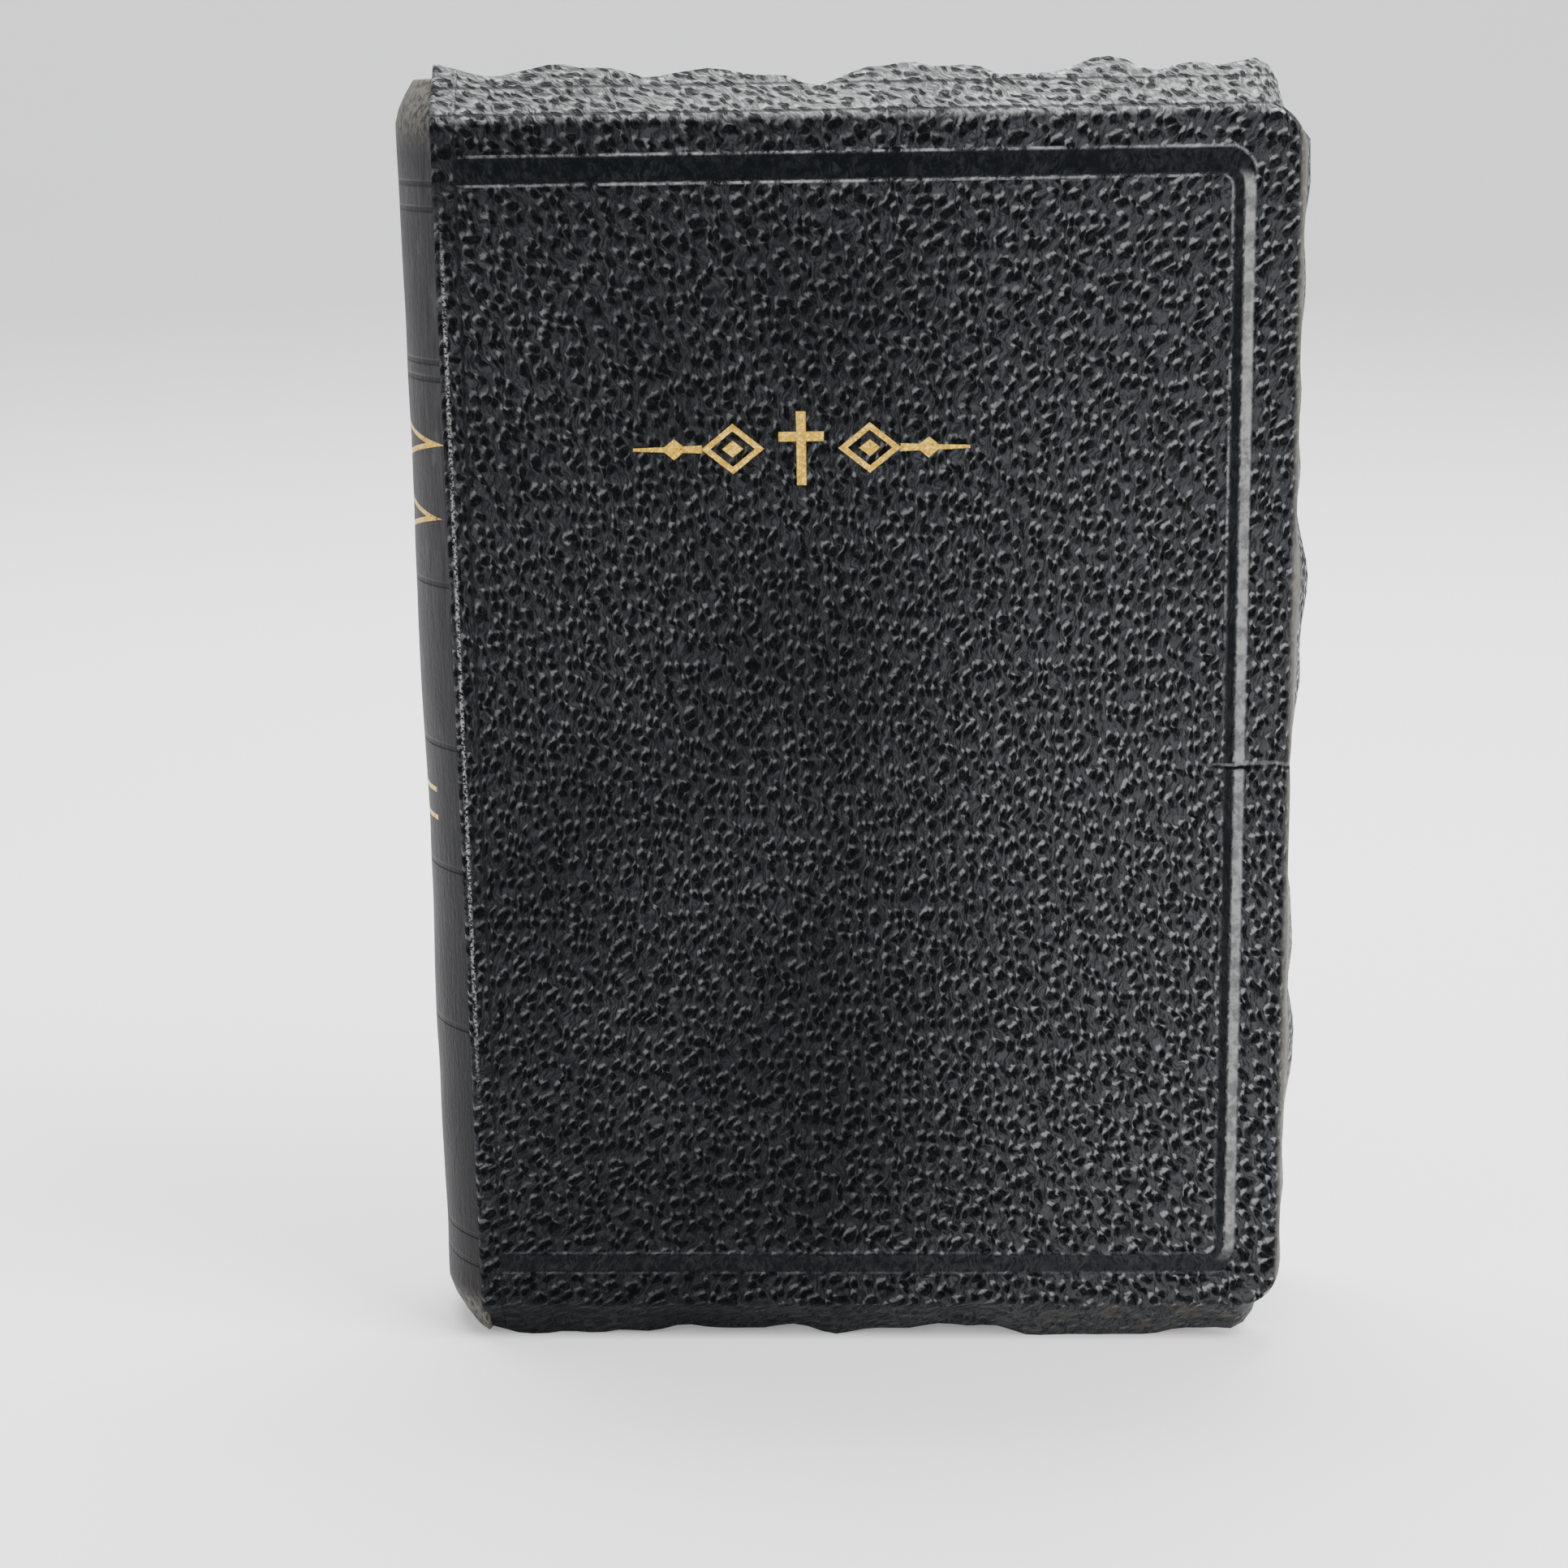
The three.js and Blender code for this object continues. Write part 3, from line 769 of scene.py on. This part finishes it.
# %% Turning leaves
def make_leaf(node, finish):
    low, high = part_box(node)
    clear_selection()
    middle = (low + high) / 2
    bpy.ops.mesh.primitive_plane_add(size=1, location=middle, rotation=(math.pi / 2, 0, 0))
    leaf = bpy.context.object
    leaf.scale = (high.x - low.x, high.z - low.z, 1)
    bpy.ops.object.transform_apply(location=True, rotation=True, scale=True)
    bpy.ops.object.mode_set(mode="EDIT")
    pick_points(leaf, lambda co: co.x > 0)
    bpy.ops.mesh.bevel(offset=5 * MM, segments=6, affect="VERTICES", profile=0.5)
    cut_across(steps(low.x, low.x + 24 * MM, 1 * MM) + [low.x + 24 * MM], 0)
    cut_across(steps(low.x + 24 * MM, high.x - 5 * MM, 6 * MM), 0)
    bpy.ops.object.mode_set(mode="OBJECT")
    apply_modifier(leaf, "SOLIDIFY", thickness=0.12 * MM, offset=0)
    finish_mesh(leaf, "turning_" + node, 30)
    finish.on(leaf)
    keep_places(leaf)
    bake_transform(leaf)
    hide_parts(node)


for node in ("front_flyleaf", "back_flyleaf"):
    make_leaf(node, turning_endpaper)
for node in ("first_leaf", "second_leaf", "last_leaf", "next_to_last_leaf"):
    make_leaf(node, turning_paper)

# %% [markdown]
# ## Inner hinge
# The endpaper is one folded sheet: half is pasted to the cover, half is the flyleaf. Its fold spans the
# gap between cover and text block, and a narrow strip, cut into rows, fills that gap.

# %% Endpaper folds at the joints
def make_inner_hinge(side):
    sign = -1 if side == "front" else 1
    paste_low, paste_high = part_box(side + "_pastedown")
    section_low, section_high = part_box("section_01" if side == "front" else "section_20")
    shoulder = section_low.y if side == "front" else section_high.y
    pasted = paste_high.y if side == "front" else paste_low.y
    near, far = shoulder + sign * 0.15 * MM, pasted - sign * 0.05 * MM
    clear_selection()
    x = section_low.x + 0.3 * MM
    place = (x, (near + far) / 2, (leaf_low.z + leaf_high.z) / 2)
    bpy.ops.mesh.primitive_plane_add(size=1, location=place, rotation=(0, math.pi / 2, 0))
    strip = bpy.context.object
    strip.scale = (leaf_high.z - leaf_low.z, abs(far - near), 1)
    bpy.ops.object.transform_apply(location=True, rotation=True, scale=True)
    bpy.ops.object.mode_set(mode="EDIT")
    cut_across(steps(min(near, far), max(near, far), 0.15 * MM), 1)
    pick_points(strip, lambda co: abs(co.y - far) < 1e-6)
    bpy.ops.mesh.extrude_edges_move(TRANSFORM_OT_translate={"value": (1.5 * MM, 0, 0)})
    bpy.ops.object.mode_set(mode="OBJECT")
    apply_modifier(strip, "SOLIDIFY", thickness=0.1 * MM, offset=0)
    finish_mesh(strip, side + "_endpaper_fold", 30)
    turning_endpaper.on(strip)
    keep_places(strip)
    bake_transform(strip)


make_inner_hinge("front")
make_inner_hinge("back")

# %% [markdown]
# ## Finishes for the pieces that keep their CAD shape
# Sections, boards, linings, thread and bands already have the right shape, so each only gets a finish of
# its own. The boards show a rim of turned-in leather round the pastedown; the rest is card, kraft paper,
# open cloth, linen and woven silk.

# %% Woven and plain finishes
def woven_finish(name, light, dark, pitch, stripe=False):
    finish = Finish(name)
    rate = 2 * math.pi / pitch
    over = (finish.z * rate).wave()
    under = ((finish.x + finish.y) * rate).wave()
    weave = over * under if not stripe else under
    fuzz = finish.noise(finish.place, 3.0, 3.0, 0.6)
    finish.set(Base_Color=finish.mix(weave.rise(-0.6, 0.6) * 0.8 + fuzz * 0.2, dark, light))
    finish.set(Roughness=0.75 + fuzz * 0.15, Sheen_Weight=0.2)
    finish.bump(weave * 0.5 + fuzz * 0.3, 0.12 * MM, 0.7)
    return finish


def card_finish(name, light, dark):
    finish = Finish(name)
    fibres = finish.noise(finish.vector(finish.x, finish.y * 3, finish.z * 0.6), 1.1, 4.0, 0.65)
    finish.set(Base_Color=finish.mix(fibres.rise(0.3, 0.7), dark, light), Roughness=0.82 + fibres * 0.12)
    finish.bump(fibres, 0.08 * MM, 0.6)
    return finish


turned_in = card_finish("turned_in_leather", (0.030, 0.029, 0.030), (0.012, 0.012, 0.014))
card = card_finish("grey_card", (0.34, 0.30, 0.24), (0.22, 0.19, 0.15))
kraft = card_finish("kraft_lining", (0.42, 0.27, 0.14), (0.30, 0.18, 0.09))
mull = woven_finish("mull_cloth", (0.80, 0.76, 0.66), (0.42, 0.38, 0.30), 1.1)
thread = woven_finish("linen_thread", (0.86, 0.83, 0.74), (0.60, 0.56, 0.46), 0.5, stripe=True)
silk = woven_finish("banded_silk", (0.62, 0.56, 0.44), (0.24, 0.02, 0.02), 1.4, stripe=True)
finishes = {"spine_inlay": card, "spine_lining": kraft, "mull": mull, "head_band": silk, "tail_band": silk}
for name, node in frame["nodes"].items():
    if name.startswith("section_"):
        page_paper.on(node)
    elif name.startswith("sewing_thread"):
        thread.on(node)
    elif name.endswith("_board"):
        turned_in.on(node)
    elif name.endswith("_pastedown"):
        endpaper.on(node)
    elif name in finishes:
        finishes[name].on(node)
print("finishes:", len(bpy.data.materials))

# %% [markdown]
# ## Floor, light and camera
# A pale floor that curves up all round, like a light tent, keeps the black leather readable. A window
# stands high at the right and a broad light overhead grazes the grain and brightens the head edge; one
# more lights the wall behind, and a weak one fills the left.

# %% Floor
clear_selection()
bpy.ops.mesh.primitive_circle_add(vertices=96, radius=3.2, fill_type="NGON", location=(0, 0, 0))
floor = bpy.context.object
bpy.ops.object.mode_set(mode="EDIT")
bpy.ops.mesh.select_mode(type="EDGE")
bpy.ops.mesh.select_all(action="SELECT")
bpy.ops.mesh.extrude_edges_move(TRANSFORM_OT_translate={"value": (0, 0, 2.8)})
pick_points(floor, lambda co: co.z < 0.1)
bpy.ops.mesh.bevel(offset=1.1, segments=14, affect="EDGES")
bpy.ops.object.mode_set(mode="OBJECT")
finish_mesh(floor, "floor", 60)
cloth = Finish("pale_floor")
soft = cloth.noise(cloth.place, 0.004, 2.0)
cloth.set(Base_Color=cloth.mix(soft, (0.78, 0.78, 0.79), (0.83, 0.83, 0.835)), Roughness=0.9)
cloth.set(Emission_Color=(0.97, 0.97, 1.0), Emission_Strength=0.24)
cloth.on(floor)


# %% Lights
def area_light(name, place, target, width, height, power, colour):
    light = bpy.data.objects.new(name, bpy.data.lights.new(name, "AREA"))
    light.data.shape, light.data.size, light.data.size_y = "RECTANGLE", width, height
    light.data.energy, light.data.color = power, colour
    light.location = place
    light.rotation_euler = (Vector(target) - Vector(place)).to_track_quat("-Z", "Y").to_euler()
    bpy.context.scene.collection.objects.link(light)


book_middle = (0, 0, 0.1)
area_light("window", (0.55, -0.30, 0.9), book_middle, 0.5, 0.35, 17, (1.0, 0.99, 0.97))
area_light("top_light", (-0.05, 0.35, 1.1), book_middle, 0.9, 0.5, 22, (1.0, 1.0, 1.0))
area_light("back_wall", (0, 0.3, 1.6), (0, 2.6, 0.6), 1.6, 0.8, 40, (1.0, 1.0, 1.0))
area_light("fill", (-0.9, -0.7, 0.5), book_middle, 0.5, 0.5, 3.5, (0.95, 0.97, 1.0))
world = bpy.data.worlds.new("surround")
bpy.context.scene.world = world
world.use_nodes = True
world.node_tree.nodes["Background"].inputs["Color"].default_value = (0.93, 0.93, 0.94, 1)
world.node_tree.nodes["Background"].inputs["Strength"].default_value = 0.42

# %% [markdown]
# The camera looks down on the standing book from a little above it, nearly straight on, with the slight
# tilt of a camera held in the hand.

# %% Camera
camera = bpy.data.objects.new("camera", bpy.data.cameras.new("camera"))
bpy.context.scene.collection.objects.link(camera)
camera.location = Vector((8.7, -473.7, 208.8)) * MM
looks_at = Vector((-11.05, -16.75, 94.86)) * MM
turn = (looks_at - camera.location).to_track_quat("-Z", "Y")
camera.rotation_euler = (turn @ Quaternion((0, 0, 1), math.radians(-1.0))).to_euler()
camera.data.lens, camera.data.sensor_width = 68.8, 36
camera.data.clip_start = 0.01
bpy.context.scene.camera = camera
